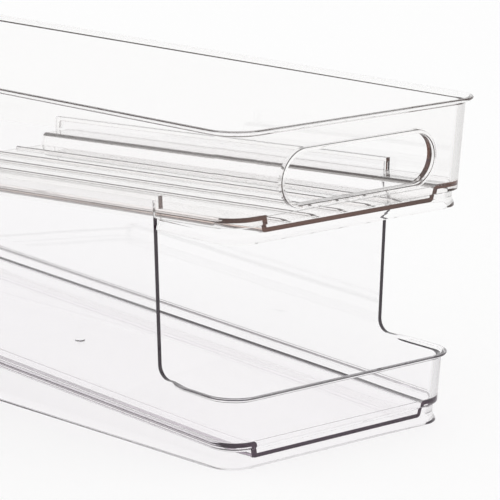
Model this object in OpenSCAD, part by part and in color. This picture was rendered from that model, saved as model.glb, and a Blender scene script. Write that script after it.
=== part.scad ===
// Two-level can organizer for a fridge shelf: cans roll back along the upper tray,
// drop through the gap at its rear and roll forward along the lower bin.
// Both mouldings are clear plastic. X is the width, the take-out side faces -Y, and Z is up.

/* [Overall size] */
// Width across the foot of the lower bin
base_w = 140.6; // [128:0.2:180]
// Length along the foot of the lower bin
base_l = 390; // [330:1:460]
// Height of the tray's rim above the shelf
rim_h = 160; // [156:1:190]
// Outer radius of the upright corners
corner_r = 13.5; // [10:0.5:17]
// Lean of the side and back walls, in degrees
side_draft = 2.4; // [0.5:0.1:3]
// Lean of the front walls, in degrees
front_draft = 4; // [1:0.1:6]
// Thickness of the walls
wall = 2.2; // [1.6:0.1:2.8]
// Thickness of the two floors
floor_t = 2.4; // [1.8:0.1:3]
// Slope of the bin's floor, in degrees
bin_tilt = 2.9; // [1.5:0.1:3.4]
// Slope of the tray's floor and seat, in degrees
tray_tilt = 2.7; // [1.5:0.1:3.2]

/* [Floors] */
// Depth of the rolling channel below its shoulders
channel_d = 6.4; // [3:0.2:8]
// Width of the channel at its floor
channel_w = 103.5; // [80:0.5:108]
// How far each channel side leans outward
channel_lean = 1.5; // [0:0.1:3]
// Radius along the channel's edges
channel_r = 1.6; // [0.4:0.1:2.4]

/* [Lower bin] */
// Height of the bin's shoulders at the front foot
bin_shoulder_z = 12.4; // [11:0.2:18]
// Height of the low front wall
low_front_h = 35; // [28:1:60]
// Rise of the low front wall's rim towards the back, in degrees
low_tilt = 1.5; // [0:0.1:4]
// How far the lip of the low front wall flares out
low_lip_out = 2.4; // [0.5:0.1:4]
// Rise of that lip's flare
low_lip_rise = 1.7; // [1:0.1:3]
// How far the skirt under the floor is set in from the wall
skirt_in = 1.8; // [0.6:0.1:2.2]
// Thickness of the skirts
skirt_t = 2; // [1.4:0.1:2.6]
// Height of the toe that flares out along a skirt's lower edge
toe_h = 2.2; // [1:0.1:3]
// Distance from the front foot to the tall side walls
side_start = 48; // [30:1:90]
// Lean of the tall side walls' front edges, in degrees
side_edge_lean = 0.6; // [0:0.1:3]
// Radius at the foot of the tall side walls' front edges
side_foot_r = 6.5; // [2:0.5:12]
// Radius of the round gate mark on the bin's floor
gate_r = 2.6; // [1:0.1:4]
// Height of the gate mark
gate_h = 0.5; // [0.2:0.1:1]

/* [Upper tray] */
// Height of the tray's shoulders at the front foot
tray_shoulder_z = 119.3; // [112:0.1:122]
// Distance from the rear end of the seat to the back foot
drop_l = 90; // [76:1:130]
// How far the tray's floor ends short of the seat
floor_short = 8; // [3:0.5:14]
// Height of the seat on the side walls above the tray's shoulders
seat_up = 3.8; // [3:0.2:8]
// Step down of the bin's walls behind the seat
rear_step = 4.2; // [2:0.1:6]
// Running gap between the tray and the walls that it sits between
fit_gap = 0.3; // [0.15:0.05:0.6]
// Depth of the tray's side bands below its shoulders
band_drop = 5.5; // [3.5:0.1:6]
// Depth of the nose skirt's level foot below the shoulders at the front
nose_drop = 12.5; // [11:0.1:15]
// How far the nose skirt is set in from the wall
nose_in = 2.3; // [2.2:0.1:3.4]
// Depth of the nose's wall edge below the shoulders
nose_edge = 4.3; // [3:0.1:6]
// Number of ribs along the tray's channel
rib_count = 5; // [1:1:5]
// Distance from rib to rib
rib_pitch = 17.7; // [10:0.1:18]
// Width of a rib
rib_w = 2.2; // [1:0.1:4]
// Height of a rib
rib_h = 1.5; // [0.6:0.1:3]

/* [Rim and handle slot] */
// How far the tray's rim flares out
rim_out = 3.5; // [1:0.1:5]
// Rise of the rim's flare
rim_rise = 2; // [1:0.1:3]
// Thickness of the rim's lip
rim_t = 2; // [1.4:0.1:2.6]
// Overall width of the handle slot
slot_w = 94.6; // [60:0.2:104]
// Height of the handle slot
slot_h = 24.8; // [18:0.2:26]
// Height of the slot's middle above the shelf
slot_z = 134.6; // [133:0.2:142]
// How far the collar round the slot stands out from the wall
collar_d = 2.6; // [0.5:0.1:4]
// Thickness of the collar
collar_t = 1.8; // [1:0.1:3]

/* [Hidden] */
$fn = 64;

// Points in each quarter of a rounded outline, less one
corner_steps = 6;
// Length that carries a cut safely past a face
past = 20;
// Depth by which joined shapes run into each other
bite = 1;

bin_slope = tan(bin_tilt);
tray_slope = tan(tray_tilt);
overall_l = base_l + rim_h * (tan(front_draft) + tan(side_draft)) + 2 * rim_out;
foot_front = rim_h * tan(front_draft) + rim_out - overall_l / 2;
foot_back = foot_front + base_l;
middle_y = (foot_front + foot_back) / 2;
side_edge_y = foot_front + side_start;
tray_end_y = foot_back - drop_l;
floor_end_y = tray_end_y - floor_short;
channel_top_w = channel_w + 2 * channel_lean;
band_in = wall + fit_gap;
web_t = wall;
seat_z = tray_shoulder_z + seat_up;
low_slope = tan(low_tilt);
side_rise = seat_z - low_front_h;
nose_y = side_edge_y - 2 * fit_gap - side_rise * tan(side_edge_lean);

// Position of the outer wall faces at height z
function wall_x(z) = base_w / 2 + z * tan(side_draft);
function front_y(z) = foot_front - z * tan(front_draft);
function back_y(z) = foot_back + z * tan(side_draft);

// Height at y of a plane that is z0 high at the front foot and rises by k for each millimetre
function plane_z(z0, k, y) = z0 + k * (y - foot_front);

// Rounded outline of the walls, inset from their outer faces, where a plane crosses them
function outline(z0, k, inset) =
    let (
        r = max(corner_r - inset, 0.5),
        zf = (z0 + k * inset) / (1 + k * tan(front_draft)),
        zb = (z0 + k * (base_l - inset)) / (1 - k * tan(side_draft))
    ) [
        for (corner = [0:3], step = [0:corner_steps])
            let (
                turn = 90 * (corner - 1 + step / corner_steps),
                front = corner == 0 || corner == 3,
                cx = wall_x(front ? zf : zb) - inset - r,
                cy = front ? front_y(zf) + inset + r : back_y(zb) - inset - r,
                x = (corner < 2 ? cx : -cx) + r * cos(turn),
                y = cy + r * sin(turn)
            ) [x, y, plane_z(z0, k, y)]
    ];

// Solid through a stack of outlines; each entry of stack is [z0, k, inset], from the bottom up
module loft(stack) {
    rings = [for (s = stack) outline(s[0], s[1], s[2])];
    n = len(rings[0]);
    last = (len(rings) - 1) * n;
    polyhedron(
        points = [for (ring = rings) each ring],
        faces = [
            [for (i = [0:n - 1]) i],
            [for (i = [n - 1:-1:0]) last + i],
            for (level = [0:len(rings) - 2], i = [0:n - 1])
                let (a = level * n + i, b = level * n + (i + 1) % n)
                each [[a, a + n, b + n], [a, b + n, b]]
        ]
    );
}

// Arc of radius r that rounds the corner at p between its neighbours before and after
function corner_arc(before, p, after, r, steps = 5) =
    let (
        a = (before - p) / norm(before - p),
        b = (after - p) / norm(after - p),
        half = acos(a * b) / 2,
        middle = p + (a + b) / norm(a + b) * r / sin(half),
        start = p + a * r / tan(half) - middle,
        side = cross(a, b) > 0 ? 1 : -1,
        turn = -side * (180 - 2 * half)
    ) [
        for (i = [0:steps])
            let (t = turn * i / steps)
            middle + [
                start.x * cos(t) - start.y * sin(t),
                start.x * sin(t) + start.y * cos(t)
            ]
    ];

// Closed outline whose corners, given as [x, y, radius], are rounded
function rounded(corners) = [
    for (i = [0:len(corners) - 1])
        let (
            n = len(corners),
            before = corners[(i + n - 1) % n],
            p = corners[i],
            after = corners[(i + 1) % n]
        )
        each p[2] == 0 ? [[p[0], p[1]]]
            : corner_arc([before[0], before[1]], [p[0], p[1]], [after[0], after[1]], p[2])
];

// Cross-section of a floor: shoulders, a channel between them, and depth t
function floor_section(t) =
    let (
        wide = base_w,
        top = channel_top_w / 2,
        low = channel_w / 2,
        r_in = channel_r,
        r_out = channel_r + floor_t / 2
    ) rounded([
        [-wide, 0, 0], [-top, 0, r_in], [-low, -channel_d, r_out],
        [low, -channel_d, r_out], [top, 0, r_in], [wide, 0, 0],
        [wide, -t, 0], [top + t, -t, r_out], [low + t, -channel_d - t, r_in],
        [-low - t, -channel_d - t, r_in], [-top - t, -t, r_out], [-wide, -t, 0]
    ]);

// Solid bar of a cross-section along Y, tilted by angle, whose origin is at z0 over the front foot
module along_floor(z0, angle, from_y, to_y) {
    translate([0, foot_front, z0])
        rotate([angle, 0, 0])
            translate([0, to_y - foot_front, 0])
                rotate([90, 0, 0])
                    linear_extrude(to_y - from_y)
                        children();
}

// Solid of a side-view outline, given in Y and Z, across the whole width
module across(points) {
    translate([-base_w, 0, 0])
        rotate([90, 0, 90])
            linear_extrude(2 * base_w)
                polygon(points);
}

// Box across the whole width between two places along Y, from a height upwards
module zone(from_y, to_y, from_z = -past) {
    translate([-base_w, from_y, from_z])
        cube([2 * base_w, to_y - from_y, rim_h + past - from_z]);
}

// Side view of the bin's walls, grown by gap where the tray meets their upright edges
function bin_side(gap) =
    let (
        edge_y = side_edge_y - gap,
        top_y = edge_y - side_rise * tan(side_edge_lean),
        step_y = tray_end_y + gap,
        ends = base_l
    ) rounded([
        [foot_front - ends, -2 * past, 0],
        [foot_front - ends, plane_z(low_front_h, low_slope, foot_front - ends), 0],
        [edge_y, plane_z(low_front_h, low_slope, edge_y), side_foot_r],
        [top_y, plane_z(seat_z, -tray_slope, top_y), 0],
        [step_y, plane_z(seat_z, -tray_slope, step_y), 0],
        [step_y, plane_z(seat_z - rear_step, -tray_slope, step_y), 0],
        [foot_back + ends, plane_z(seat_z - rear_step, -tray_slope, foot_back + ends), 0],
        [foot_back + ends, -2 * past, 0]
    ]);

// Outer and inner faces of the bin's skirt and walls, as stacks for loft
function bin_outer(more) = let (under = bin_shoulder_z - floor_t) [
    [0, 0, more],
    [toe_h / 2, 0, more + skirt_in / 4],
    [toe_h, 0, more + skirt_in],
    [under - skirt_in, bin_slope, more + skirt_in],
    [under - skirt_in / 4, bin_slope, more + skirt_in / 4],
    [under + skirt_in / 4, bin_slope, more],
    [seat_z + past, 0, more]
];
bin_inner = let (inside = skirt_in + skirt_t, middle = bin_shoulder_z - floor_t / 2) [
    [-bite, 0, inside],
    [middle - floor_t / 4, bin_slope, inside],
    [middle, bin_slope, wall],
    [seat_z + 2 * past, 0, wall]
];

// Outer and inner faces of a flared lip of thickness rim_t whose top lies on a plane of slope k
function lip_outer(top, k, rise, out) = [
    [top - rim_t - 0.75 * rise, k, -0.2 * out],
    [top - rim_t, k, -0.9 * out],
    [top - rim_t / 4, k, -out],
    [top, k, -0.93 * out]
];
function lip_inner(top, k, rise, out) = [
    [top - rise, k, wall - 0.15 * out],
    [top - rise / 4, k, wall - 0.85 * out],
    [top + bite, k, wall - out]
];

// Walls of the bin, with a flared lip along the low front part
module bin_walls() {
    lip_foot = low_front_h - low_lip_rise - rim_t - bite;
    lip_end_y = side_edge_y - side_foot_r;
    difference() {
        union() {
            intersection() {
                difference() {
                    loft(bin_outer(0));
                    loft(bin_inner);
                }
                across(bin_side(0));
            }
            intersection() {
                loft([
                    [lip_foot, low_slope, bite],
                    each lip_outer(low_front_h, low_slope, low_lip_rise, low_lip_out)
                ]);
                zone(foot_front - past, lip_end_y);
            }
        }
        intersection() {
            loft([
                [lip_foot - bite, low_slope, wall + bite],
                each lip_inner(low_front_h, low_slope, low_lip_rise, low_lip_out)
            ]);
            zone(foot_front - past, lip_end_y);
        }
    }
}

// Lower bin: skirt, stepped sloping floor, low front wall and tall side and back walls
module lower_bin() {
    color([0.93, 0.92, 0.95, 0.45]) {
        bin_walls();
        intersection() {
            loft(bin_outer(bite));
            along_floor(bin_shoulder_z, bin_tilt, foot_front - past, foot_back + past)
                polygon(floor_section(floor_t));
        }
        translate([0, middle_y, plane_z(bin_shoulder_z - channel_d, bin_slope, middle_y) - bite])
            cylinder(r = gate_r, h = bite + gate_h);
    }
}

// Outer and inner faces of the tray's walls up to its flared rim, as stacks for loft
tray_outer = [
    [tray_shoulder_z - 2 * past, 0, 0],
    [rim_h - rim_t - rim_rise, 0, 0],
    each lip_outer(rim_h, 0, rim_rise, rim_out)
];
tray_inner = [
    [tray_shoulder_z - 3 * past, 0, wall],
    [rim_h - 1.25 * rim_rise, 0, wall],
    each lip_inner(rim_h, 0, rim_rise, rim_out)
];

// Walls of the tray down to the seat, the nose's floor and the rear joint
module tray_walls() {
    under = tray_shoulder_z - nose_edge;
    difference() {
        loft(tray_outer);
        loft(tray_inner);
        across(bin_side(fit_gap));
        intersection() {
            across([
                [foot_front - base_l, -past],
                [foot_front - base_l, plane_z(under, -tray_slope, foot_front - base_l)],
                [foot_back, plane_z(under, -tray_slope, foot_back)],
                [foot_back, -past]
            ]);
            zone(foot_front - base_l, side_edge_y);
        }
    }
}

// Seat ledge with the band below it, and the end webs, which key the tray into the bin's side walls
module tray_seat() {
    rear_y = tray_end_y + fit_gap;
    intersection() {
        difference() {
            loft([
                [tray_shoulder_z - band_drop, -tray_slope, band_in],
                [seat_z, -tray_slope, band_in],
                [seat_z, -tray_slope, bite / 4],
                [seat_z + wall, -tray_slope, bite / 4]
            ]);
            loft([
                [tray_shoulder_z - past, -tray_slope, band_in + wall],
                [seat_z + past, -tray_slope, band_in + wall]
            ]);
        }
        zone(nose_y - web_t, rear_y + web_t);
    }
    for (web = [[nose_y - web_t, tray_shoulder_z - floor_t], [rear_y, seat_z - rear_step]])
        intersection() {
            difference() {
                loft([[web[1], -tray_slope, bite / 4], [seat_z + bite, -tray_slope, bite / 4]]);
                loft([
                    [web[1] - past, -tray_slope, band_in + wall / 2],
                    [seat_z + past, -tray_slope, band_in + wall / 2]
                ]);
            }
            zone(web[0], web[0] + web_t);
        }
}

// Stepped floor of the tray: full width in the nose, between the bands behind it
module tray_floor() {
    intersection() {
        along_floor(tray_shoulder_z, -tray_tilt, foot_front - past, floor_end_y)
            polygon(floor_section(floor_t));
        union() {
            intersection() {
                loft([
                    [tray_shoulder_z - past, -tray_slope, nose_in + bite / 2],
                    [tray_shoulder_z - nose_edge - bite, -tray_slope, nose_in + bite / 2],
                    [tray_shoulder_z - nose_edge, -tray_slope, bite],
                    [tray_shoulder_z + past, -tray_slope, bite]
                ]);
                zone(foot_front - past, nose_y);
            }
            intersection() {
                loft([
                    [tray_shoulder_z - past, -tray_slope, band_in + bite],
                    [tray_shoulder_z + past, -tray_slope, band_in + bite]
                ]);
                zone(side_edge_y - side_start / 2, floor_end_y);
            }
        }
    }
}

// Skirt under the tray's nose, with a level foot and the same flared toe as the bin's
module nose_skirt() {
    foot = tray_shoulder_z - nose_drop;
    edge = tray_shoulder_z - nose_edge;
    intersection() {
        difference() {
            union() {
                loft([
                    [tray_shoulder_z - 3 * past, -tray_slope, nose_in],
                    [edge - bite, -tray_slope, nose_in],
                    [edge - bite / 4, -tray_slope, bite / 2],
                    [tray_shoulder_z - bite, -tray_slope, bite / 2]
                ]);
                loft([
                    [foot - bite, 0, nose_in - skirt_in],
                    [foot, 0, nose_in - skirt_in],
                    [foot + toe_h / 2, 0, nose_in - 0.75 * skirt_in],
                    [foot + toe_h, 0, nose_in + bite / 2]
                ]);
            }
            loft([
                [foot - 2 * bite, 0, nose_in + skirt_t],
                [rim_h, 0, nose_in + skirt_t]
            ]);
        }
        zone(foot_front - past, nose_y, foot);
    }
}

// Ribs along the channel, from the front wall to the end of the floor
module tray_ribs() {
    for (i = [0:rib_count - 1])
        translate([(i - (rib_count - 1) / 2) * rib_pitch, 0, 0])
            along_floor(tray_shoulder_z - channel_d, -tray_tilt,
                    front_y(tray_shoulder_z) + wall / 2, floor_end_y)
                polygon(rounded([
                    [-rib_w / 2, -bite, 0], [-rib_w / 2, rib_h, rib_w / 2.2],
                    [rib_w / 2, rib_h, rib_w / 2.2], [rib_w / 2, -bite, 0]
                ]));
}

// Stadium-shaped bar square to the leaning front wall, at the place of the handle slot
module slot_bar(grow, from_d, to_d) {
    r = slot_h / 2 + grow;
    reach = (slot_w - slot_h) / 2;
    translate([0, front_y(slot_z), slot_z])
        rotate([90 - front_draft, 0, 180])
            translate([0, 0, from_d]) {
                for (side = [-1, 1])
                    translate([side * reach, 0, 0])
                        cylinder(r = r, h = to_d - from_d);
                translate([-reach, -r, 0])
                    cube([2 * reach, 2 * r, to_d - from_d]);
            }
}

// Upper tray: leaning walls with a flared rim, stepped floor, ribs, handle slot and keyed seat
module upper_tray() {
    color([0.95, 0.94, 0.95, 0.45]) {
        difference() {
            union() {
                tray_walls();
                slot_bar(collar_t, -collar_d, wall / 2);
            }
            slot_bar(0, -past, past);
        }
        tray_seat();
        tray_floor();
        nose_skirt();
        tray_ribs();
    }
}

lower_bin();
upper_tray();
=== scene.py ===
# %% [markdown]
# # A clear two-level can organizer for the fridge
# Cans go in on the upper tray, roll back, drop through the gap at its rear and roll forward along the
# lower bin to the low front wall. The real thing is two thin clear mouldings, and one sits in the other.
# A clear object shows every edge twice, so this lesson builds each moulding as one closed solid. Two
# overlapping solids would show a false inner surface where they cross.

# %% Load the fixed frame
import math

import bmesh
import bpy
from mathutils import Matrix, Vector


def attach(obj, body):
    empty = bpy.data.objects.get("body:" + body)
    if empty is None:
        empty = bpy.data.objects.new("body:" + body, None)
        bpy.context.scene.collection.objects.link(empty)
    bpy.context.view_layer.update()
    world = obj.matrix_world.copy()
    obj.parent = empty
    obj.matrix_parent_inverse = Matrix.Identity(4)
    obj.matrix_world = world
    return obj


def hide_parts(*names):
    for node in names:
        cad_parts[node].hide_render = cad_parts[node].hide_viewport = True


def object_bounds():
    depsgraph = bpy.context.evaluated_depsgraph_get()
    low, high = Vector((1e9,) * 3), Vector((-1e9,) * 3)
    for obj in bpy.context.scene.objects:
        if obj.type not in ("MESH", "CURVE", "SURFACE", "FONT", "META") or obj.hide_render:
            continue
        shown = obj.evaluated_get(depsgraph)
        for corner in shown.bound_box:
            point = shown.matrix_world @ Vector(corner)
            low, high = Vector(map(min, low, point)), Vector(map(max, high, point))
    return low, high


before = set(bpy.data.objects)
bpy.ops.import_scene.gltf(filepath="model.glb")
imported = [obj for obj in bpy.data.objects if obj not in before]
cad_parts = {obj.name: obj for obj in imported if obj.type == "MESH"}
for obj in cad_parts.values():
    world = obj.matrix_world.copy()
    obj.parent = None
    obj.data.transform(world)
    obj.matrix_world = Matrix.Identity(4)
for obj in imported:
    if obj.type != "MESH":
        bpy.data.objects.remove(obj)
cad_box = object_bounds()
MM = 0.001
print("solids in the frame:", sorted(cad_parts))
print("box of the solids in mm:", [round(v / MM, 1) for v in (*cad_box[0], *cad_box[1])])

# %% [markdown]
# ## Sizes that both mouldings share
# Moulded walls lean, so that the part slides out of its tool. All walls here grow with height: the sides
# and the back lean by one angle, the front by a larger one. Sizes are in millimetres. The box of the
# solids reaches furthest forward at the edge of the rim, and from there the front foot is found.

# %% Wall sizes
BASE_W = 140.6
BASE_L = 390.0
RIM_H = 160.0
RIM_OUT = 3.5
RIM_EDGE = 0.5
SIDE_DRAFT = math.tan(math.radians(2.4))
FRONT_DRAFT = math.tan(math.radians(4))
WALL = 2.2

FOOT_FRONT = cad_box[0].y / MM + (RIM_H - RIM_EDGE) * FRONT_DRAFT + RIM_OUT
FOOT_BACK = FOOT_FRONT + BASE_L
print(f"the foot runs from y = {FOOT_FRONT:.2f} to {FOOT_BACK:.2f} mm")


def wall_x(z):
    """Outer face of the right-hand wall at a height."""
    return BASE_W / 2 + z * SIDE_DRAFT


def front_y(z):
    """Outer face of the front wall at a height."""
    return FOOT_FRONT - z * FRONT_DRAFT


def back_y(z):
    """Outer face of the back wall at a height."""
    return FOOT_BACK + z * SIDE_DRAFT


def plane_z(z0, slope, y):
    """Height at y of a plane that is z0 high at the front foot."""
    return z0 + slope * (y - FOOT_FRONT)


# %% [markdown]
# ## Two curves that come back
# Two curves shape almost every edge of a moulding. An S-curve leads from one face to another without a
# kink, as in a lip or a toe. A quarter round takes the sharpness off an edge or fills a corner.

# %% S-curve and quarter round
def ease(t):
    """S-curve from 0 to 1."""
    return (1 - math.cos(math.pi * t)) / 2


def quarter_round(r, steps):
    """Quarter circle as pairs: the distance still to go one way, and the distance gone the other way."""
    turns = [math.pi / 2 * step / steps for step in range(steps + 1)]
    return [(r * (1 - math.sin(turn)), r * (1 - math.cos(turn))) for turn in turns]


print("a 1 mm round in 2 steps:", [(round(to_go, 2), round(gone, 2)) for to_go, gone in quarter_round(1, 2)])

# %% [markdown]
# ## One outline for everything
# Every wall, skirt, lip and seat follows the same rounded outline. Each step asks for it at some height
# and inset, so the two mouldings always fit each other. The outline can lie on a sloping plane, as the
# floors do.
#
# A corner whose wall is evenly thick shifts what is seen through it, and straight lines behind it jump.
# An inner corner that is half a wall fuller than a plain offset lets them run on, so the outline takes
# that as an option. It can also fade to another inset along both sides, so that a lip can die away.

# %% The rounded outline
CORNER_R = 13.5
SMALLEST_R = 0.5
CORNER_STEPS = 20
FADE_STEPS = 12


def fade_sides(points, z0, slope, inset, last_inset, from_y, to_y):
    """Adds points along both sides of an outline that lead smoothly to another inset."""
    arc = CORNER_STEPS + 1
    spans = ((points[arc - 1], points[arc], range(FADE_STEPS + 1)),
             (points[3 * arc - 1], points[3 * arc], range(FADE_STEPS, -1, -1)))
    sides = []
    for start, end, steps in spans:
        side = []
        for step in steps:
            y = from_y + (to_y - from_y) * step / FADE_STEPS
            x = start[0] + (end[0] - start[0]) * (y - start[1]) / (end[1] - start[1])
            inward = (last_inset - inset) * ease(step / FADE_STEPS)
            side.append((x - math.copysign(inward, x), y, plane_z(z0, slope, y)))
        sides.append(side)
    return points[:arc] + sides[0] + points[arc:3 * arc] + sides[1] + points[3 * arc:]


def outline(z0, slope, inset, fuller=0.0, fade=None):
    """The outline of the walls, inset from their outer faces, where a sloping plane cuts them.

    fuller is added to the corner radius; fade is (inset, from_y, to_y).
    """
    r = max(CORNER_R - inset + fuller, SMALLEST_R)
    z_front = (z0 + slope * inset) / (1 + slope * FRONT_DRAFT)
    z_back = (z0 + slope * (BASE_L - inset)) / (1 - slope * SIDE_DRAFT)
    points = []
    for corner in range(4):
        at_front = corner in (0, 3)
        cx = wall_x(z_front if at_front else z_back) - inset - r
        cy = front_y(z_front) + inset + r if at_front else back_y(z_back) - inset - r
        for step in range(CORNER_STEPS + 1):
            turn = math.radians(90 * (corner - 1 + step / CORNER_STEPS))
            x = (cx if corner < 2 else -cx) + r * math.cos(turn)
            y = cy + r * math.sin(turn)
            points.append((x, y, plane_z(z0, slope, y)))
    return points if fade is None else fade_sides(points, z0, slope, inset, *fade)


print("points in one outline:", len(outline(0, 0, 0)))

# %% [markdown]
# ## Ways to make a solid
# A loft stacks outlines, which gives walls, skirts and lips. A bar pushes a cross-section along a sloping
# floor. A slab pushes a side view across the whole width, and trims the walls to their stepped edge. All
# return closed meshes with their faces outward, which is what the later cuts need.

# %% Closed meshes from points
def new_piece(name, points, faces):
    """A mesh object at the origin, from points in millimetres."""
    mesh = bpy.data.meshes.new(name)
    mesh.from_pydata([Vector(p) * MM for p in points], [], faces)
    shape = bmesh.new()
    shape.from_mesh(mesh)
    bmesh.ops.recalc_face_normals(shape, faces=shape.faces)
    shape.to_mesh(mesh)
    shape.free()
    piece = bpy.data.objects.new(name, mesh)
    bpy.context.scene.collection.objects.link(piece)
    return piece


def skin(name, rings):
    """Closed solid through rings of equally many points, with a cap at both ends."""
    count = len(rings[0])
    points = [p for ring in rings for p in ring]
    faces = [tuple(range(count)), tuple(range(len(points) - count, len(points)))]
    for level in range(len(rings) - 1):
        for i in range(count):
            a = level * count + i
            b = level * count + (i + 1) % count
            faces.append((a, b, b + count, a + count))
    return new_piece(name, points, faces)


# %% [markdown]
# A shape that only cuts or limits another runs well past it, because two faces in the same plane give a
# boolean nothing to decide by. A shape that is added starts a little inside the wall for the same reason.

# %% Loft, bar, slab and block
REACH = 20.0
BURY = 1.0


def loft(name, stack, fuller=0.0, fade=None):
    """Solid through a stack of outlines; each entry is (height at the front foot, slope, inset)."""
    return skin(name, [outline(*entry, fuller, fade) for entry in stack])


def tilted(section, z0, tilt, along):
    """A cross-section of (x, height) points, placed square to a floor at a distance along it."""
    c, s = math.cos(tilt), math.sin(tilt)
    return [(x, FOOT_FRONT + along * c - h * s, z0 + along * s + h * c) for x, h in section]


def bar(name, section, z0, tilt, from_y, to_y):
    """Solid of a cross-section pushed along a floor."""
    return skin(name, [tilted(section, z0, tilt, y - FOOT_FRONT) for y in (from_y, to_y)])


def slab(name, side_view, half_width=BASE_W):
    """Solid of a side view, given as (y, z) points, pushed across the whole width."""
    return skin(name, [[(x, y, z) for y, z in side_view] for x in (-half_width, half_width)])


def block(name, from_y, to_y, from_z=-REACH, to_z=2 * RIM_H):
    """Plain box across the whole width, used only to limit other shapes."""
    return slab(name, [(from_y, from_z), (to_y, from_z), (to_y, to_z), (from_y, to_z)])


print(f"cutting shapes run {REACH} mm past the part, added shapes start {BURY} mm inside it")

# %% [markdown]
# Sharp inside corners would be hard to fill and would crack, so a moulder rounds them. This helper turns
# a list of corners with radii into a smooth outline, which the floors, the side view and the ribs use.

# %% Rounded corners
def rounded(corners, steps=8):
    """Closed outline whose corners, given as (u, v, radius), are rounded by arcs."""
    points = []
    for i, (u, v, r) in enumerate(corners):
        if r == 0:
            points.append((u, v))
            continue
        p = Vector((u, v))
        before = (Vector(corners[i - 1][:2]) - p).normalized()
        after = (Vector(corners[(i + 1) % len(corners)][:2]) - p).normalized()
        half = before.angle(after) / 2
        middle = p + (before + after).normalized() * r / math.sin(half)
        start = p + before * r / math.tan(half) - middle
        side = 1 if before.cross(after) > 0 else -1
        sweep = -side * (math.pi - 2 * half)
        for step in range(steps + 1):
            turned = start.copy()
            turned.rotate(Matrix.Rotation(sweep * step / steps, 2))
            points.append(tuple(middle + turned))
    return points


print("points of a rounded square:", len(rounded([(0, 0, 1), (4, 0, 1), (4, 4, 1), (0, 4, 1)])))

# %% [markdown]
# Booleans join, cut and limit the solids. They could stay as live modifiers, but every later step would
# work them out again, so each result is kept as a plain mesh at once and its tools are thrown away.

# %% Join, cut or limit
def combine(piece, operation, *tools):
    """Joins (UNION), cuts (DIFFERENCE) or limits (INTERSECT) a piece by other solids."""
    for tool in tools:
        step = piece.modifiers.new(operation, "BOOLEAN")
        step.operation = operation
        step.solver = "MANIFOLD"
        step.object = tool
    view = bpy.context.evaluated_depsgraph_get()
    result = bpy.data.meshes.new_from_object(piece.evaluated_get(view))
    piece.modifiers.clear()
    old = piece.data
    piece.data = result
    bpy.data.meshes.remove(old)
    for tool in tools:
        bpy.data.objects.remove(tool)
    return piece


# %% [markdown]
# ## The lip
# A thin wall ends in a lip that flares outward: it stiffens the edge and leaves nothing sharp for the
# hand. Seen from the side it is an S-curve and then a small rounded edge. A thick lip of clear plastic
# guides light along itself and shows as a dark band, so this one narrows to a thin edge that draws a fine
# line. It is two stacks of outlines, one for its outer face and one for its inner face.

# %% Lip profile
LIP_STEPS = 8
LIP_T = 0.8
LIP_EDGE_R = 0.52


def lip_outer(top, slope, rise, out, thick=LIP_T, edge_r=LIP_EDGE_R):
    """Outer face of a flared lip, from the wall to its top."""
    low = top - rise - thick
    flare = [(low + rise * step / LIP_STEPS, slope, -out * ease(step / LIP_STEPS))
             for step in range(1, LIP_STEPS + 1)]
    edge = [(top - to_go, slope, -out + gone) for to_go, gone in quarter_round(edge_r, LIP_STEPS)]
    return flare + edge


def lip_inner(top, slope, rise, out, edge_r=LIP_EDGE_R):
    """Inner face of the same lip, and the opening above it."""
    low = top - edge_r - rise
    flare = [(low + rise * step / LIP_STEPS, slope, WALL - out * ease(step / LIP_STEPS))
             for step in range(LIP_STEPS + 1)]
    edge = [(top - to_go, slope, WALL - out - gone) for to_go, gone in quarter_round(edge_r, LIP_STEPS)[1:]]
    return [*flare, *edge, (top + BURY, slope, WALL - out - edge_r)]


print(f"a lip narrows to about {LIP_T} mm, and its edge is rounded by {LIP_EDGE_R} mm")

# %% [markdown]
# ## The stepped floors
# Each floor has a shoulder along both walls and a flat rolling channel between them. The cans roll in the
# channel, so they keep clear of the walls. One line serves as the floor's upper face and, one floor
# thickness lower, as its underside.
#
# At each bend one face is well rounded and the other almost sharp. The bend then works as a small lens,
# and draws the single dark line that a step shows in clear plastic.

# %% Floor section
FLOOR_T = 2.4
CHANNEL_D = 6.4
CHANNEL_W = 103.5
CHANNEL_TOP_W = 106.5
CHANNEL_ROUND = 2.4
CHANNEL_SHARP = 0.4


def channel_line(drop):
    """Line of the floor's surface from left to right, drop below its upper face, with rounded bends."""
    top = CHANNEL_TOP_W / 2 + drop
    low = CHANNEL_W / 2 + drop
    edge_r = CHANNEL_ROUND if drop == 0 else CHANNEL_SHARP
    foot_r = CHANNEL_SHARP if drop == 0 else CHANNEL_ROUND
    depth = -CHANNEL_D - drop
    return [
        (-BASE_W, -drop, 0), (-top, -drop, edge_r), (-low, depth, foot_r),
        (low, depth, foot_r), (top, -drop, edge_r), (BASE_W, -drop, 0),
    ]


def above_floor(name, *run):
    """Everything above a floor; run is (height, tilt, from_y, to_y)."""
    return bar(name, rounded(channel_line(0) + [(BASE_W, RIM_H, 0), (-BASE_W, RIM_H, 0)]), *run)


def below_floor(name, *run):
    """Everything below a floor."""
    return bar(name, rounded(channel_line(FLOOR_T) + [(BASE_W, -RIM_H, 0), (-BASE_W, -RIM_H, 0)]), *run)


def floor_sheet(name, *run):
    """The floor itself."""
    return bar(name, rounded(channel_line(0) + channel_line(FLOOR_T)[::-1]), *run)


print(f"rolling channel: {CHANNEL_W} mm wide and {CHANNEL_D} mm deep")

# %% [markdown]
# ## The lower bin
# Above the bin's floor the walls are low at the front, where a hand takes the can out, and tall behind,
# where they carry the tray. A short step at the rear of the tall walls locates the tray. One side view
# holds all of this. Grown by the running gap, the same view later cuts the tray, so the two always match.

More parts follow.
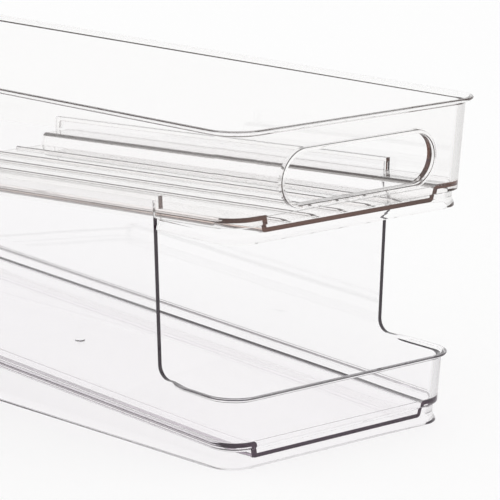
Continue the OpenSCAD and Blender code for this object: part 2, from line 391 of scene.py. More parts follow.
# %% Side view of the bin
LOW_FRONT_H = 35.0
LOW_SLOPE = math.tan(math.radians(1.5))
SIDE_START = 48.0
SIDE_EDGE_LEAN = math.tan(math.radians(0.6))
SIDE_FOOT_R = 6.5
TRAY_TILT = math.radians(-2.7)
TRAY_SLOPE = math.tan(TRAY_TILT)
TRAY_SHOULDER = 119.3
SEAT_RISE = 3.8
REAR_STEP = 4.2
DROP_L = 90.0

SEAT_Z = TRAY_SHOULDER + SEAT_RISE
SIDE_EDGE_Y = FOOT_FRONT + SIDE_START
SEAT_END_Y = FOOT_BACK - DROP_L
print(f"tall walls start at y = {SIDE_EDGE_Y:.1f} mm, the drop opening at {SEAT_END_Y:.1f} mm")


def bin_side_view(gap):
    """Side view of the bin's walls, grown by a running gap where the tray meets their upright edges."""
    edge_y = SIDE_EDGE_Y - gap
    top_y = edge_y - (SEAT_Z - LOW_FRONT_H) * SIDE_EDGE_LEAN
    step_y = SEAT_END_Y + gap
    ahead, behind = FOOT_FRONT - BASE_L, FOOT_BACK + BASE_L
    return rounded([
        (ahead, -2 * REACH, 0),
        (ahead, plane_z(LOW_FRONT_H, LOW_SLOPE, ahead), 0),
        (edge_y, plane_z(LOW_FRONT_H, LOW_SLOPE, edge_y), SIDE_FOOT_R),
        (top_y, plane_z(SEAT_Z, TRAY_SLOPE, top_y), 0),
        (step_y, plane_z(SEAT_Z, TRAY_SLOPE, step_y), 0),
        (step_y, plane_z(SEAT_Z - REAR_STEP, TRAY_SLOPE, step_y), 0),
        (behind, plane_z(SEAT_Z - REAR_STEP, TRAY_SLOPE, behind), 0),
        (behind, -2 * REACH, 0),
    ], steps=12)


# %% [markdown]
# The bin stands on a skirt whose lower edge flares out into a toe. The bin could be joined from sheets,
# but then each inner corner would stay sharp. Here a full block is lofted first, from the foot over the
# toe and the skirt to the walls, and the spaces are cut out of it afterwards.

# %% Outside of the bin
BIN_TILT = math.radians(2.9)
BIN_SLOPE = math.tan(BIN_TILT)
BIN_SHOULDER = 12.4
SKIRT_IN = 1.8
FOOT_EDGE = 0.4
TOE_H = 4.5
TOE_STEPS = 8
FLANK_H = 1.2 * SKIRT_IN
FLANK_STEPS = 5

toe_curve = [(FOOT_EDGE + TOE_H * t / TOE_STEPS, 0, SKIRT_IN * ease(t / TOE_STEPS))
             for t in range(TOE_STEPS + 1)]
skirt_top = BIN_SHOULDER - FLOOR_T - SKIRT_IN
flank_curve = [(skirt_top + FLANK_H * t / FLANK_STEPS, BIN_SLOPE, SKIRT_IN * ease(1 - t / FLANK_STEPS))
               for t in range(FLANK_STEPS + 1)]
lower_bin = loft("clear_lower_bin", [(0, 0, FOOT_EDGE), *toe_curve, *flank_curve, (SEAT_Z + REACH, 0, 0)])
combine(lower_bin, "INTERSECT", slab("side_view", bin_side_view(0)))
print("block for the bin:", len(lower_bin.data.polygons), "faces")

# %% [markdown]
# The low wall has a smaller lip, which has to end where the tall walls rise. A lip that is simply cut off
# leaves a notch there. This one sinks into the wall's face over a short run, so the edge runs on smoothly.

# %% Lip of the low wall
LOW_LIP_OUT = 2.4
LOW_LIP_RISE = 1.9
LOW_LIP_T = 0.65
LOW_LIP_EDGE_R = 0.4
LIP_RUN_OUT = 16.0
LIP_SUNK = 0.15

lip_end = SIDE_EDGE_Y - SIDE_FOOT_R
lip_foot = LOW_FRONT_H - LOW_LIP_RISE - LOW_LIP_T
low_lip = loft("low_lip", [
    (lip_foot - BURY, LOW_SLOPE, BURY),
    *lip_outer(LOW_FRONT_H, LOW_SLOPE, LOW_LIP_RISE, LOW_LIP_OUT, LOW_LIP_T, LOW_LIP_EDGE_R),
], fade=(LIP_SUNK, lip_end - LIP_RUN_OUT, lip_end))
combine(low_lip, "INTERSECT", block("lip_zone", FOOT_FRONT - REACH, lip_end))
combine(lower_bin, "UNION", low_lip)
print("outside of the bin:", len(lower_bin.data.polygons), "faces")

# %% [markdown]
# Three spaces are cut out of the block: the hollow above the floor, the opening inside the lip, and the
# space under the floor. The hollow's own rounding becomes the fillet along the foot of the walls. The
# fillet is small, because a large one would draw a second dark line beside the floor's step.

# %% Inside of the bin
FLOOR_FILLET = 0.5
FILLET_STEPS = 5
BELOW_CHANNEL = 4.0

hollow = loft("hollow", [
    (BIN_SHOULDER - CHANNEL_D - BELOW_CHANNEL, BIN_SLOPE, WALL + FLOOR_FILLET),
    *[(BIN_SHOULDER + gone, BIN_SLOPE, WALL + to_go)
      for to_go, gone in quarter_round(FLOOR_FILLET, FILLET_STEPS)],
    (SEAT_Z + 2 * REACH, 0, WALL),
], fuller=WALL / 2)
bin_run = (BIN_SHOULDER, BIN_TILT, FOOT_FRONT - 2 * REACH, FOOT_BACK + 2 * REACH)
combine(hollow, "INTERSECT", above_floor("above", *bin_run))

low_lip_space = loft("lip_space", [
    (lip_foot - 2 * BURY, LOW_SLOPE, WALL + BURY),
    *lip_inner(LOW_FRONT_H, LOW_SLOPE, LOW_LIP_RISE, LOW_LIP_OUT, LOW_LIP_EDGE_R),
], fuller=WALL / 2, fade=(WALL + LIP_SUNK, lip_end - LIP_RUN_OUT, lip_end))
combine(low_lip_space, "INTERSECT", block("lip_zone", FOOT_FRONT - REACH, lip_end))
print("hollow:", len(hollow.data.polygons), "faces, space in the lip:", len(low_lip_space.data.polygons))

# %% [markdown]
# The space under the floor follows the toe from inside, so the skirt keeps its thickness. A small bevel
# inside the foot leaves a narrow standing edge, which draws a fine line where the bin meets the table.

# %% Under the bin, and the cuts
SKIRT_T = 2.0
FOOT_BEVEL = 0.7

under_space = loft("under_space", [
    (-BURY, 0, SKIRT_T - FOOT_BEVEL - BURY),
    (FOOT_BEVEL, 0, SKIRT_T),
    *[(z, slope, SKIRT_T + inset) for z, slope, inset in toe_curve[1:]],
    (BIN_SHOULDER + BURY, BIN_SLOPE, SKIRT_IN + SKIRT_T),
], fuller=SKIRT_T / 2)
combine(under_space, "INTERSECT", below_floor("below", *bin_run))
combine(lower_bin, "DIFFERENCE", hollow, low_lip_space, under_space)
print("hollowed bin:", len(lower_bin.data.polygons), "faces")

# %% [markdown]
# The plastic enters the tool through one point in the middle of the bin's floor, and leaves a small
# round mark there. It is a low disc with a rounded rim.

# %% Gate mark
GATE_R = 2.6
GATE_H = 0.5
GATE_EDGE_R = 0.3
gate_y = (FOOT_FRONT + FOOT_BACK) / 2
gate_z = plane_z(BIN_SHOULDER - CHANNEL_D, BIN_SLOPE, gate_y)


def disc(name, centre, radius, low, high, edge_r, sides=48, edge_steps=4):
    """Upright disc with a rounded upper rim."""
    levels = [(low, radius)]
    levels += [(high - to_go, radius - gone) for to_go, gone in quarter_round(edge_r, edge_steps)]
    turns = [2 * math.pi * i / sides for i in range(sides)]
    x, y, foot = centre
    rings = [[(x + r * math.cos(a), y + r * math.sin(a), foot + z) for a in turns] for z, r in levels]
    return skin(name, rings)


combine(lower_bin, "UNION", disc("gate", (0, gate_y, gate_z), GATE_R, -BURY, GATE_H, GATE_EDGE_R))
print(f"gate mark at y = {gate_y:.1f}, z = {gate_z:.1f} mm")

# %% [markdown]
# ## The upper tray
# The tray's walls run all round, with a flared rim. In front of the bin's tall walls the tray has a nose:
# there its floor is as wide as its walls, and a short skirt below it repeats the bin's skirt. Behind the
# nose the walls end on top of the bin's walls, which the grown side view cuts out of them.

# %% Walls of the tray
FIT_GAP = 0.3
RIM_RISE = 2.4
NOSE_EDGE = 4.3

upper_tray = loft("clear_upper_tray", [
    (TRAY_SHOULDER - 2 * REACH, 0, 0),
    (RIM_H - LIP_T - RIM_RISE, 0, 0),
    *lip_outer(RIM_H, 0, RIM_RISE, RIM_OUT),
])
nose_ahead = FOOT_FRONT - BASE_L
under_nose = slab("under_nose", [
    (nose_ahead, -2 * REACH),
    (nose_ahead, plane_z(TRAY_SHOULDER - NOSE_EDGE, TRAY_SLOPE, nose_ahead)),
    (SIDE_EDGE_Y, plane_z(TRAY_SHOULDER - NOSE_EDGE, TRAY_SLOPE, SIDE_EDGE_Y)),
    (SIDE_EDGE_Y, -2 * REACH),
])
inner_space = loft("inner_space", [
    (TRAY_SHOULDER - 3 * REACH, 0, WALL),
    *lip_inner(RIM_H, 0, RIM_RISE, RIM_OUT),
], fuller=WALL / 2)
combine(upper_tray, "DIFFERENCE", inner_space, slab("bin_walls", bin_side_view(FIT_GAP)), under_nose)
print("walls of the tray:", len(upper_tray.data.polygons), "faces")

# %% [markdown]
# The handle slot goes through the leaning front wall, and a collar round it stands out from the wall. Both
# are stadium shapes, square to the wall. The collar's outer edge is rounded for the fingers.

# %% Stadium shapes
SLOT_W = 94.6
SLOT_H = 24.8
SLOT_Z = 134.6


def stadium(name, levels, sides=24):
    """Stadium solid square to the front wall; each level is (distance behind the wall's face, growth)."""
    lean = math.atan(FRONT_DRAFT)
    centre = Vector((0, front_y(SLOT_Z), SLOT_Z))
    inward = Vector((0, math.cos(lean), math.sin(lean)))
    up = Vector((0, -math.sin(lean), math.cos(lean)))
    reach = (SLOT_W - SLOT_H) / 2
    rings = []
    for depth, growth in levels:
        r = SLOT_H / 2 + growth
        ring = []
        for side in (1, -1):
            for step in range(sides + 1):
                turn = math.pi * (step / sides - 0.5 * side)
                x = side * reach + r * math.cos(turn)
                ring.append(centre + Vector((x, 0, 0)) + up * r * math.sin(turn) + inward * depth)
        rings.append(ring)
    return skin(name, rings)


# %% Collar and handle slot
COLLAR_D = 2.6
COLLAR_T = 1.8
COLLAR_ROUND = 0.7
COLLAR_STEPS = 4
SLOT_ROUND = 0.8
SLOT_STEPS = 5
SLOT_AHEAD = 0.2

collar = stadium("collar", [
    *[(-COLLAR_D + gone, COLLAR_T - to_go) for to_go, gone in quarter_round(COLLAR_ROUND, COLLAR_STEPS)],
    (WALL / 2, COLLAR_T),
])
slot = stadium("slot", [
    (-REACH, SLOT_ROUND),
    *[(-COLLAR_D - SLOT_AHEAD + gone, to_go) for to_go, gone in quarter_round(SLOT_ROUND, SLOT_STEPS)],
    (REACH, 0),
])
combine(upper_tray, "UNION", collar)
combine(upper_tray, "DIFFERENCE", slot)
print(f"handle slot: {SLOT_W} by {SLOT_H} mm, its collar stands out {COLLAR_D} mm")

# %% [markdown]
# A ledge inside the tray's walls rests on top of the bin's tall walls, and a band below it hangs just
# inside them, so the tray can't slide sideways. A web at each end closes the ledge against the tall walls'
# upright edges, so it can't slide lengthwise either. All of them are rings between two outlines.

# %% Seat ledge, bands and webs
BAND_DROP = 5.5
BAND_IN = WALL + FIT_GAP
WEB_T = WALL
IN_WALL = 0.25
NOSE_Y = SIDE_EDGE_Y - 2 * FIT_GAP - (SEAT_Z - LOW_FRONT_H) * SIDE_EDGE_LEAN
REAR_Y = SEAT_END_Y + FIT_GAP


def ring_between(name, outside, inset):
    """Ring whose outer face is a stack of outlines and whose inner face is upright at an inset."""
    ring = loft(name, outside)
    low, high = outside[0][0] - 1.5 * REACH, outside[-1][0] + 1.5 * REACH
    space = loft("space", [(low, TRAY_SLOPE, inset), (high, TRAY_SLOPE, inset)])
    return combine(ring, "DIFFERENCE", space)


seat = ring_between("seat", [
    (TRAY_SHOULDER - BAND_DROP, TRAY_SLOPE, BAND_IN),
    (SEAT_Z, TRAY_SLOPE, BAND_IN),
    (SEAT_Z, TRAY_SLOPE, IN_WALL),
    (SEAT_Z + WALL, TRAY_SLOPE, IN_WALL),
], BAND_IN + WALL)
combine(seat, "INTERSECT", block("seat_zone", NOSE_Y - WEB_T, REAR_Y + WEB_T))
for web_y, web_foot in ((NOSE_Y - WEB_T, TRAY_SHOULDER - FLOOR_T), (REAR_Y, SEAT_Z - REAR_STEP)):
    web_outside = [(web_foot, TRAY_SLOPE, IN_WALL), (SEAT_Z + BURY, TRAY_SLOPE, IN_WALL)]
    web = ring_between("web", web_outside, BAND_IN + WALL / 2)
    combine(web, "INTERSECT", block("web_zone", web_y, web_y + WEB_T))
    combine(seat, "UNION", web)
combine(upper_tray, "UNION", seat)
print(f"the ledge runs from y = {NOSE_Y:.1f} to {REAR_Y:.1f} mm")

# %% [markdown]
# The floor is one stepped sheet, and an outline limits it. In the nose it reaches into the walls and the
# skirt, behind the nose only into the bands, and it ends a little before the drop opening.

# %% Floor of the tray
NOSE_IN = 2.3
FLOOR_SHORT = 8.0
FLOOR_END_Y = SEAT_END_Y - FLOOR_SHORT
nose_edge = TRAY_SHOULDER - NOSE_EDGE

nose_limit = loft("nose_limit", [
    (TRAY_SHOULDER - REACH, TRAY_SLOPE, NOSE_IN + BURY / 2),
    (nose_edge - BURY, TRAY_SLOPE, NOSE_IN + BURY / 2),
    (nose_edge, TRAY_SLOPE, BURY),
    (TRAY_SHOULDER + REACH, TRAY_SLOPE, BURY),
])
combine(nose_limit, "INTERSECT", block("nose_zone", FOOT_FRONT - REACH, NOSE_Y))
run_limit = loft("run_limit", [
    (TRAY_SHOULDER - REACH, TRAY_SLOPE, BAND_IN + BURY),
    (TRAY_SHOULDER + REACH, TRAY_SLOPE, BAND_IN + BURY),
])
combine(run_limit, "INTERSECT", block("run_zone", SIDE_EDGE_Y - SIDE_START / 2, FLOOR_END_Y))
combine(run_limit, "UNION", nose_limit)
tray_floor = floor_sheet("tray_floor", TRAY_SHOULDER, TRAY_TILT, FOOT_FRONT - REACH, FLOOR_END_Y)
combine(tray_floor, "INTERSECT", run_limit)
print("floor of the tray:", len(tray_floor.data.polygons), "faces")

# %% [markdown]
# Under the nose hangs a short skirt with its own toe, so the tray's front looks like the bin's. The skirt
# and the toe are lofted as a block again, and the space inside is cut out before they join the tray. A
# tenth or two of a millimetre here and there keeps neighbouring faces out of one plane.

# %% Skirt of the nose
NOSE_DROP = 12.5
NOSE_TOE_H = 4.5
NOSE_TOE_OUT = 1.4
TOE_FOOT_IN = 0.3
TOE_MOUTH = 0.2
TOE_TOP_IN = 0.1
nose_foot = TRAY_SHOULDER - NOSE_DROP

nose_skirt = loft("nose_skirt", [
    (TRAY_SHOULDER - 3 * REACH, TRAY_SLOPE, NOSE_IN),
    (nose_edge - BURY, TRAY_SLOPE, NOSE_IN),
    (nose_edge - IN_WALL, TRAY_SLOPE, BURY / 2),
    (TRAY_SHOULDER - BURY, TRAY_SLOPE, BURY / 2),
])
nose_toe_curve = [(nose_foot + FOOT_EDGE + NOSE_TOE_H * t / TOE_STEPS, 0,
                   NOSE_IN - NOSE_TOE_OUT * ease(1 - t / TOE_STEPS)) for t in range(TOE_STEPS + 1)]
nose_toe = loft("nose_toe", [
    (nose_foot, 0, NOSE_IN - NOSE_TOE_OUT + TOE_FOOT_IN),
    *nose_toe_curve,
    (nose_foot + NOSE_TOE_H + BURY, 0, NOSE_IN + TOE_TOP_IN),
])
combine(nose_skirt, "UNION", nose_toe)
nose_inside = loft("nose_inside", [
    (nose_foot - BURY, 0, NOSE_IN + SKIRT_T - NOSE_TOE_OUT - TOE_MOUTH),
    *[(z, slope, inset + SKIRT_T) for z, slope, inset in nose_toe_curve],
    (RIM_H, 0, NOSE_IN + SKIRT_T),
], fuller=SKIRT_T / 2)
combine(nose_skirt, "DIFFERENCE", nose_inside)
combine(nose_skirt, "INTERSECT", block("nose_zone", FOOT_FRONT - REACH, NOSE_Y, nose_foot))
combine(upper_tray, "UNION", tray_floor, nose_skirt)
print("tray without its ribs:", len(upper_tray.data.polygons), "faces")

# %% [markdown]
# ## Ribs on the tray
# Five low ribs run along the tray's channel. A can touches only their crests, so it rolls easily and a
# wet can doesn't stick. One rib is a rounded bar that rises gently out of the floor behind the front wall,
# because an upright end would show as a row of dark strokes there.

# %% One rib
RIB_W = 1.9
RIB_H = 1.2
RIB_ROUND = RIB_W / 2.2
RIB_CLEAR = 2.0
RIB_RAMP = 10.0
RAMP_STEPS = 6
RIB_SUNK = 0.1

rib_section = rounded([(-RIB_W / 2, -BURY, 0), (RIB_W / 2, -BURY, 0),
                       (RIB_W / 2, RIB_H, RIB_ROUND), (-RIB_W / 2, RIB_H, RIB_ROUND)])
rib_front = front_y(TRAY_SHOULDER) - FOOT_FRONT + WALL + RIB_CLEAR
rib_back = FLOOR_END_Y - FOOT_FRONT
rib_stations = [(rib_front + RIB_RAMP * t / RAMP_STEPS, ease(t / RAMP_STEPS)) for t in range(RAMP_STEPS + 1)]
rib_stations.append((rib_back, 1))
rings = []
for along, share in rib_stations:
    section = [(x, h if h < 0 else h * share - RIB_SUNK * (1 - share)) for x, h in rib_section]
    rings.append(tilted(section, TRAY_SHOULDER - CHANNEL_D, TRAY_TILT, along))
one_rib = skin("one_rib", rings)
print(f"one rib is {rib_back - rib_front:.0f} mm long")

# %% [markdown]
# The ribs repeat by a rule, which is what Geometry Nodes are for: one rib is placed at each point of a
# short line, and the number and the pitch are inputs. The tree ends in real geometry with its material,
# so the result can be kept as a plain mesh and joined to the tray.

# %% Ribs by Geometry Nodes
RIB_COUNT = 5
RIB_PITCH = 17.7


def math_node(tree, operation, *values):
    """Output of a Math node whose inputs are numbers or the outputs of other nodes."""
    node = tree.nodes.new("ShaderNodeMath")
    node.operation = operation
    for socket, value in zip(node.inputs, values):
        if isinstance(value, bpy.types.NodeSocket):
            tree.links.new(value, socket)
        else:
            socket.default_value = value
    return node.outputs[0]


def rib_tree():
    """Node tree that repeats its geometry across the width, centred on the middle."""
    tree = bpy.data.node_groups.new("ribs_across_the_channel", "GeometryNodeTree")
    for name, kind in (("Rib", "Geometry"), ("Count", "Int"), ("Pitch", "Float"), ("Material", "Material")):
        tree.interface.new_socket(name, in_out="INPUT", socket_type="NodeSocket" + kind)
    tree.interface.new_socket("Ribs", in_out="OUTPUT", socket_type="NodeSocketGeometry")
    nodes, link = tree.nodes, tree.links.new
    given = nodes.new("NodeGroupInput")
    made = nodes.new("NodeGroupOutput")
    gaps = math_node(tree, "SUBTRACT", given.outputs["Count"], 1)
    span = math_node(tree, "MULTIPLY", gaps, given.outputs["Pitch"])
    first = nodes.new("ShaderNodeCombineXYZ")
    step = nodes.new("ShaderNodeCombineXYZ")
    line = nodes.new("GeometryNodeMeshLine")
    place = nodes.new("GeometryNodeInstanceOnPoints")
    solid = nodes.new("GeometryNodeRealizeInstances")
    coat = nodes.new("GeometryNodeSetMaterial")
    link(math_node(tree, "MULTIPLY", span, -0.5), first.inputs["X"])
    link(given.outputs["Pitch"], step.inputs["X"])
    link(given.outputs["Count"], line.inputs["Count"])
    link(first.outputs[0], line.inputs["Start Location"])
    link(step.outputs[0], line.inputs["Offset"])
    link(line.outputs["Mesh"], place.inputs["Points"])
    link(given.outputs["Rib"], place.inputs["Instance"])
    link(place.outputs["Instances"], solid.inputs["Geometry"])
    link(solid.outputs["Geometry"], coat.inputs["Geometry"])
    link(given.outputs["Material"], coat.inputs["Material"])
    link(coat.outputs["Geometry"], made.inputs["Ribs"])
    return tree


def repeat_ribs(rib, material):
    """Runs the tree on one rib and keeps the result as a plain mesh."""
    repeat = rib.modifiers.new("ribs", "NODES")
    repeat.node_group = rib_tree()
    sockets = {s.name: s.identifier for s in repeat.node_group.interface.items_tree if s.in_out == "INPUT"}
    repeat[sockets["Count"]] = RIB_COUNT
    repeat[sockets["Pitch"]] = RIB_PITCH * MM
    repeat[sockets["Material"]] = material
    view = bpy.context.evaluated_depsgraph_get()
    mesh = bpy.data.meshes.new_from_object(rib.evaluated_get(view))
    rib.modifiers.clear()
    rib.data = mesh
    print("ribs:", RIB_COUNT, "at", RIB_PITCH, "mm, faces:", len(mesh.polygons))
    return rib


# %% [markdown]
# ## Clear plastic: the surface
# The mouldings are clear polystyrene. Light bends at each face, which the index of refraction sets. The
# moulded faces aren't perfect: broad, faint flow waves move the reflections a little, and the polish
# varies. Both come from noise in object coordinates, the first as a very low bump, the second as a
# roughness close to zero.

# %% Surface of the plastic
PLASTIC_INDEX = 1.57
WAVE_SCALE = 14
WAVE_STRENGTH = 0.12
WAVE_HEIGHT = 0.4 * MM
POLISH_SCALE = 40
ROUGHEST = 0.03


def noise(tree, scale, detail):
    """Noise in object coordinates."""
    place = tree.nodes.new("ShaderNodeTexCoord")
    pattern = tree.nodes.new("ShaderNodeTexNoise")
    pattern.inputs["Scale"].default_value = scale
    pattern.inputs["Detail"].default_value = detail
    tree.links.new(place.outputs["Object"], pattern.inputs["Vector"])
    return pattern.outputs[0]


def clear_surface(tree):
    """Glass-like surface with faint moulding waves and an uneven polish."""
    surface = tree.nodes.new("ShaderNodeBsdfGlass")
    surface.distribution = "MULTI_GGX"
    surface.inputs["Color"].default_value = (1, 1, 1, 1)
    surface.inputs["IOR"].default_value = PLASTIC_INDEX
    rough = tree.nodes.new("ShaderNodeMapRange")
    rough.inputs["To Min"].default_value = 0.0
    rough.inputs["To Max"].default_value = ROUGHEST
    bump = tree.nodes.new("ShaderNodeBump")
    bump.inputs["Strength"].default_value = WAVE_STRENGTH
    bump.inputs["Distance"].default_value = WAVE_HEIGHT
    tree.links.new(noise(tree, POLISH_SCALE, detail=4), rough.inputs["Value"])
    tree.links.new(rough.outputs[0], surface.inputs["Roughness"])
    tree.links.new(noise(tree, WAVE_SCALE, detail=2), bump.inputs["Height"])
    tree.links.new(bump.outputs[0], surface.inputs["Normal"])
    return surface.outputs[0]


print(f"index {PLASTIC_INDEX}, roughness up to {ROUGHEST}, waves up to {WAVE_HEIGHT / MM} mm high")

# %% [markdown]
# ## Clear plastic: the depth
# Across a wall the plastic is almost colourless. Light that enters an edge is guided along the sheet for
# many centimetres and comes out dim and brown or purple. No surface shader can tell the two apart. A
# volume that absorbs a little on the way can, so the same setting gives pale walls and dark edges.
# Absorption alone would turn the longest paths black. Real plastic scatters a trace of light on the way,
# and a very weak emission in the volume stands in for that.

# %% Depth of the plastic
def clear_depth(tree, tint, density, glow, glow_strength):
    """Absorption and a trace of scattered light inside the plastic."""
    absorbing = tree.nodes.new("ShaderNodeVolumeAbsorption")
    absorbing.inputs["Color"].default_value = (*tint, 1)
    absorbing.inputs["Density"].default_value = density
    scattered = tree.nodes.new("ShaderNodeEmission")
    scattered.inputs["Color"].default_value = (*glow, 1)
    scattered.inputs["Strength"].default_value = glow_strength
    both = tree.nodes.new("ShaderNodeAddShader")
    tree.links.new(absorbing.outputs[0], both.inputs[0])
    tree.links.new(scattered.outputs[0], both.inputs[1])
    return both.outputs[0]


# %% [markdown]
# ## Clear plastic: the shadow
# A renderer that follows light from the camera finds almost no way through curved glass to the lamps, so
# glass casts a black shadow. Real clear plastic casts a faint one. Here shadow and diffuse rays go
# straight through the plastic, and only upright faces hold a little of them back, which leaves a soft
# contact shadow on the floor.

# %% Shadow of the plastic
SIDE_PASS = 0.965


def let_light_by(tree, surface):
    """Mixes in a clear way for shadow and diffuse rays, slightly dimmed by upright faces."""
    rays = tree.nodes.new("ShaderNodeLightPath")
    facing = tree.nodes.new("ShaderNodeNewGeometry")
    parts = tree.nodes.new("ShaderNodeSeparateXYZ")
    open_way = tree.nodes.new("ShaderNodeBsdfTransparent")
    either = tree.nodes.new("ShaderNodeMixShader")
    tree.links.new(facing.outputs["True Normal"], parts.inputs[0])
    level = math_node(tree, "ABSOLUTE", parts.outputs["Z"])
    passed = math_node(tree, "MULTIPLY_ADD", level, 1 - SIDE_PASS, SIDE_PASS)
    by = math_node(tree, "MAXIMUM", rays.outputs["Is Shadow Ray"], rays.outputs["Is Diffuse Ray"])
    tree.links.new(passed, open_way.inputs["Color"])
    tree.links.new(by, either.inputs[0])
    tree.links.new(surface, either.inputs[1])
    tree.links.new(open_way.outputs[0], either.inputs[2])
    return either.outputs[0]


# %% [markdown]
# The long edges of the bin look purple and those of the tray brown, as two batches of the same plastic
# often do. Surface and shadow are the same for both, and only the depth differs: what it absorbs most,
# and the colour of the little light that it scatters.

# %% Both plastics
def clear_plastic(name, *depth):
    """Clear moulded plastic; depth is (tint, density, glow, glow strength)."""
    material = bpy.data.materials.new(name)
    material.use_nodes = True
    tree = material.node_tree
    tree.nodes.clear()
    out = tree.nodes.new("ShaderNodeOutputMaterial")
    tree.links.new(let_light_by(tree, clear_surface(tree)), out.inputs["Surface"])
    tree.links.new(clear_depth(tree, *depth), out.inputs["Volume"])
    return material


bin_plastic = clear_plastic("clear_bin_plastic", (0.70, 0.46, 0.68), 8, (0.84, 0.60, 0.80), 0.26)
tray_plastic = clear_plastic("clear_tray_plastic", (0.78, 0.56, 0.44), 7, (1.00, 0.60, 0.50), 0.42)
print("materials:", bin_plastic.name, "and", tray_plastic.name)

# %% [markdown]
# The tree for the ribs takes the material as an input, so the ribs are repeated and joined to the tray
# only now.

# %% Ribs into the tray
combine(upper_tray, "UNION", repeat_ribs(one_rib, tray_plastic))
print("tray with its ribs:", len(upper_tray.data.polygons), "faces")

# %% [markdown]
# ## Smooth faces, crisp edges
# The cuts leave long thin faces, so points that fall together and flat neighbours are merged first. A cut
# along the middle keeps any merged face from spanning the whole width. Then every face is smooth, edges
# sharper than a set angle stay crisp, and the normals are weighted by area, so that a large flat wall
# stays flat right up to its rounded corner.

# %% Finish the meshes
MERGE_WITHIN = 0.002 * MM
CUT_WITHIN = 0.001 * MM
FLAT_ANGLE = math.radians(0.2)
SHARP_ANGLE = math.radians(28)


def finish_piece(piece, material):
    """Merges flat faces, shades smoothly between sharp edges and gives the piece its material."""
    shape = bmesh.new()
    shape.from_mesh(piece.data)
    bmesh.ops.remove_doubles(shape, verts=shape.verts, dist=MERGE_WITHIN)
    middle = bmesh.ops.bisect_plane(shape, geom=shape.verts[:] + shape.edges[:] + shape.faces[:],
                                    plane_co=(0, 0, 0), plane_no=(1, 0, 0), dist=CUT_WITHIN)
    for part in middle["geom_cut"]:
        if isinstance(part, bmesh.types.BMEdge):
            part.seam = True
    bmesh.ops.dissolve_limit(shape, angle_limit=FLAT_ANGLE, verts=shape.verts, edges=shape.edges,
                             delimit={"SEAM"})
    open_edges = sum(1 for edge in shape.edges if len(edge.link_faces) != 2)
    for face in shape.faces:
        face.smooth = True
    for edge in shape.edges:
        edge.smooth = len(edge.link_faces) == 2 and edge.calc_face_angle(0) < SHARP_ANGLE
    shape.to_mesh(piece.data)
    shape.free()
    piece.data.materials.clear()
    piece.data.materials.append(material)
    for face in piece.data.polygons:
        face.material_index = 0
    even = piece.modifiers.new("even", "WEIGHTED_NORMAL")
    even.keep_sharp = True
    view = bpy.context.evaluated_depsgraph_get()
    piece.data = bpy.data.meshes.new_from_object(piece.evaluated_get(view))
    piece.modifiers.clear()
    piece.data.name = piece.name
    print(piece.name, "faces:", len(piece.data.polygons), "open edges:", open_edges)


finish_piece(lower_bin, bin_plastic)
finish_piece(upper_tray, tray_plastic)

# %% [markdown]
# ## Tie the pieces to the frame
# Each moulding stands for one solid of the frame and rides on its only body.

# %% Ride and replace
for piece, node, slot_name in ((lower_bin, "lower_bin", "bin_plastic"),
                               (upper_tray, "upper_tray", "tray_plastic")):
    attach(piece, "root")
    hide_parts(node)
    print(piece.name, "stands for", node)

# %% [markdown]
# ## The floor
# The organizer stands on a white sweep. It lies a hair below the feet, because two faces in the same
# plane would flicker. It is white for the camera and for light that has passed through the plastic, and
# it still takes the soft shadow. In a reflection its colour is painted a little darker: painted shade that
# stands in for a real sweep whose edges aren't far away, and that helps to draw the edges of the plastic.

# %% Floor
FLOOR_SIZE = 6.0
FLOOR_LOW = 0.1 * MM
FLOOR_WHITE = 0.985
FLOOR_PAINTED_SHADE = 0.1
FLOOR_ROUGH = 0.9


def white_sweep():
    """White paper, with painted shade that makes it slightly darker in reflections."""
    material = bpy.data.materials.new("white_sweep")
    material.use_nodes = True
    tree = material.node_tree
    paper = tree.nodes["Principled BSDF"]
    paper.inputs["Roughness"].default_value = FLOOR_ROUGH
    rays = tree.nodes.new("ShaderNodeLightPath")
    # Painted shade: the paper's colour is made darker for rays that have been reflected at least once.
    mirrored = math_node(tree, "MINIMUM", rays.outputs["Glossy Depth"], 1)
    white = math_node(tree, "MULTIPLY_ADD", mirrored, -FLOOR_PAINTED_SHADE, FLOOR_WHITE)
    tree.links.new(white, paper.inputs["Base Color"])
    return material


def studio_floor():
    """Large white sheet that the object stands on."""
    half = FLOOR_SIZE / 2
    mesh = bpy.data.meshes.new("studio_floor")
    corners = [(x, y, -FLOOR_LOW) for x, y in ((-half, -half), (half, -half), (half, half), (-half, half))]
    mesh.from_pydata(corners, [], [(0, 1, 2, 3)])
    mesh.materials.append(white_sweep())
    piece = bpy.data.objects.new("studio_floor", mesh)
    bpy.context.scene.collection.objects.link(piece)


studio_floor()
print(f"floor: {FLOOR_SIZE} m square, {FLOOR_LOW / MM} mm below the feet")

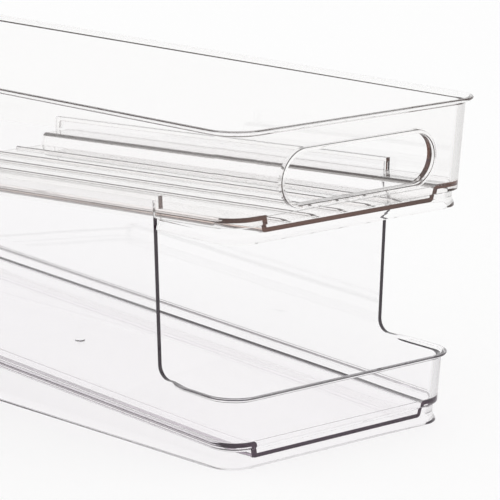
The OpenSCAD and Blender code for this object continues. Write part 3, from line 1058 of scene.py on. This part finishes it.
# %% [markdown]
# ## The light
# An even white world lights the object from all sides. With nothing dark around it, though, clear plastic
# has no edges. In a real studio, light that is reflected again and again inside the plastic ends up in
# the dark parts of the room. Here the world keeps its full brightness for the first reflections and loses
# a share with each one after those. The light on the object stays plain, and every side looks the same.

# %% World
FULL_REFLECTIONS = 2
KEPT_SHARE = 0.55

world = bpy.data.worlds.new("studio")
bpy.context.scene.world = world
world.use_nodes = True
sky = world.node_tree.nodes["Background"]
sky.inputs["Color"].default_value = (1, 1, 1, 1)
rays = world.node_tree.nodes.new("ShaderNodeLightPath")
further = math_node(world.node_tree, "SUBTRACT", rays.outputs["Glossy Depth"], FULL_REFLECTIONS)
counted = math_node(world.node_tree, "MAXIMUM", further, 0)
strength = math_node(world.node_tree, "POWER", KEPT_SHARE, counted)
world.node_tree.links.new(strength, sky.inputs["Strength"])
print("world after 4 reflections:", round(KEPT_SHARE ** (4 - FULL_REFLECTIONS), 3))

# %% [markdown]
# ## Camera
# The lens is long and stands about a metre and a half away, well above the rim, so the edges converge
# only slightly. Light crosses many faces before it leaves the plastic, so the bounces are raised: with
# too few of them the paths end early and the edges fill with black.

# %% Camera and bounces
CAMERA_PLACE = (-959.1, FOOT_FRONT - 1011.3, 393.5)
LOOK = (0.65057, 0.72986, -0.20990)
LENS = 221.05
SENSOR = 36
FARTHEST = 50
THROUGH_BOUNCES = 48
MIRROR_BOUNCES = 24

camera = bpy.data.objects.new("camera", bpy.data.cameras.new("camera"))
bpy.context.scene.collection.objects.link(camera)
camera.data.sensor_width = SENSOR
camera.data.lens = LENS
camera.data.clip_end = FARTHEST
camera.location = Vector(CAMERA_PLACE) * MM
camera.rotation_mode = "QUATERNION"
camera.rotation_quaternion = Vector(LOOK).to_track_quat("-Z", "Y")
bpy.context.scene.camera = camera

scene = bpy.context.scene
scene.view_settings.view_transform = "Standard"
scene.cycles.max_bounces = THROUGH_BOUNCES
scene.cycles.transmission_bounces = THROUGH_BOUNCES
scene.cycles.transparent_max_bounces = THROUGH_BOUNCES
scene.cycles.glossy_bounces = MIRROR_BOUNCES
print("camera at", [round(v, 3) for v in camera.location], "m")
